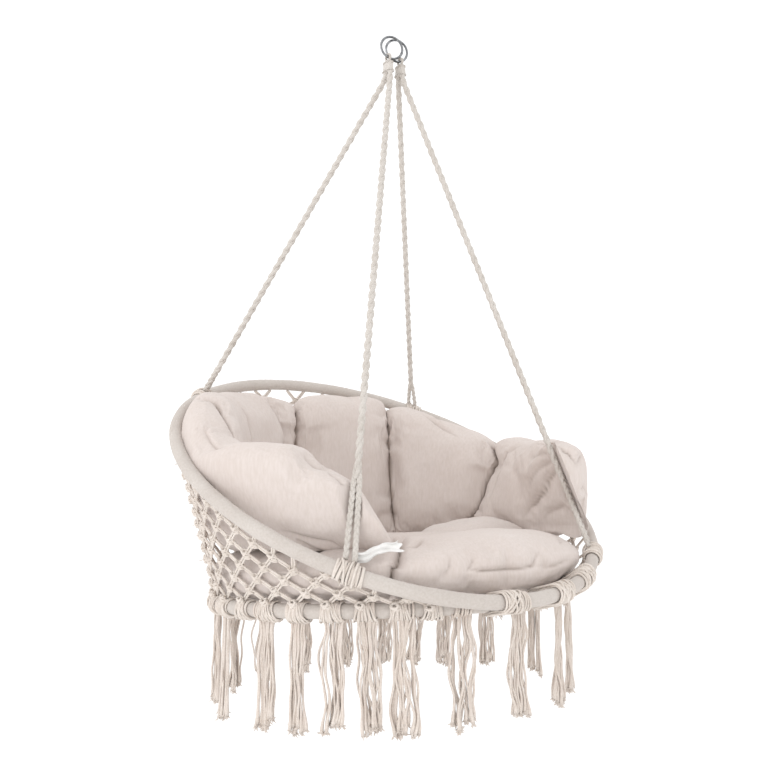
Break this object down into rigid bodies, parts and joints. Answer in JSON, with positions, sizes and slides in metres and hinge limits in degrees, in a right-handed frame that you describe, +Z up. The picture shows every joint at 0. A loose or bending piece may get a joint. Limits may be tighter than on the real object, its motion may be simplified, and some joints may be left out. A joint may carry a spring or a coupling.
{
  "type": "hanging hammock chair",
  "caption": "Round hanging hammock chair: two padded hoops joined by a knotted net and hung by ropes from steel rings, with a tassel fringe, a seat pad and a horseshoe back cushion.",
  "frame": {"origin": "the hook point, where the inside tops of the two steel rings rest on the hook that holds the chair", "axes": "+Z up, -Y towards the open front of the seat, +X towards the sitter's left, which is the right in the picture"},
  "size_m": [0.8238, 0.7246, 1.2825],
  "materials": {
    "ring_steel": "polished",
    "hoop_steel": "satin",
    "cotton_sleeve": "woven cotton",
    "cotton_rope": "braided cotton",
    "cushion_canvas": "cotton canvas",
    "white_tape": "cotton tape"
  },
  "bodies": {
    "rings": {"hanging_ring_left": "ring_steel", "hanging_ring_right": "ring_steel"},
    "rope_bights": {"rope_bight_left": "cotton_rope", "rope_bight_right": "cotton_rope"},
    "hanging_chair": {"upper_hoop_tube": "hoop_steel", "upper_hoop_joiner": "hoop_steel", "upper_hoop_sleeve": "cotton_sleeve", "lower_hoop_tube": "hoop_steel", "lower_hoop_joiner": "hoop_steel", "lower_hoop_sleeve": "cotton_sleeve", "rope_neck_left": "cotton_rope", "rope_neck_right": "cotton_rope", "rope_front_left": "cotton_rope", "rope_back_left": "cotton_rope", "rope_front_right": "cotton_rope", "rope_back_right": "cotton_rope", "rope_lashing_front_left": "cotton_rope", "rope_lashing_back_left": "cotton_rope", "rope_lashing_front_right": "cotton_rope", "rope_lashing_back_right": "cotton_rope", "front_binding_1": "cotton_rope", "front_binding_2": "cotton_rope", "front_binding_3": "cotton_rope", "side_net": "cotton_rope", "seat_net": "cotton_rope", "tassel_01": "cotton_rope", "tassel_02": "cotton_rope", "tassel_03": "cotton_rope", "tassel_04": "cotton_rope", "tassel_05": "cotton_rope", "tassel_06": "cotton_rope", "tassel_07": "cotton_rope", "tassel_08": "cotton_rope", "tassel_09": "cotton_rope", "tassel_10": "cotton_rope", "tassel_11": "cotton_rope", "tassel_12": "cotton_rope", "tassel_13": "cotton_rope", "tassel_14": "cotton_rope", "tassel_15": "cotton_rope", "tassel_16": "cotton_rope", "tassel_17": "cotton_rope", "tassel_18": "cotton_rope", "tassel_19": "cotton_rope", "tassel_20": "cotton_rope", "seat_pad": "cushion_canvas", "back_cushion": "cushion_canvas", "cushion_tie": "white_tape"}
  },
  "joints": [
    {"name": "side_sway", "type": "hinge", "parent": "rings", "child": "rope_bights", "pos_m": [0, 0, 0], "axis": [0, 1, 0], "range_deg": [-4, 4]},
    {"name": "fore_aft_swing", "type": "hinge", "parent": "rope_bights", "child": "hanging_chair", "pos_m": [0, 0, -0.04024], "axis": [1, 0, 0], "range_deg": [-25, 25]}
  ]
}
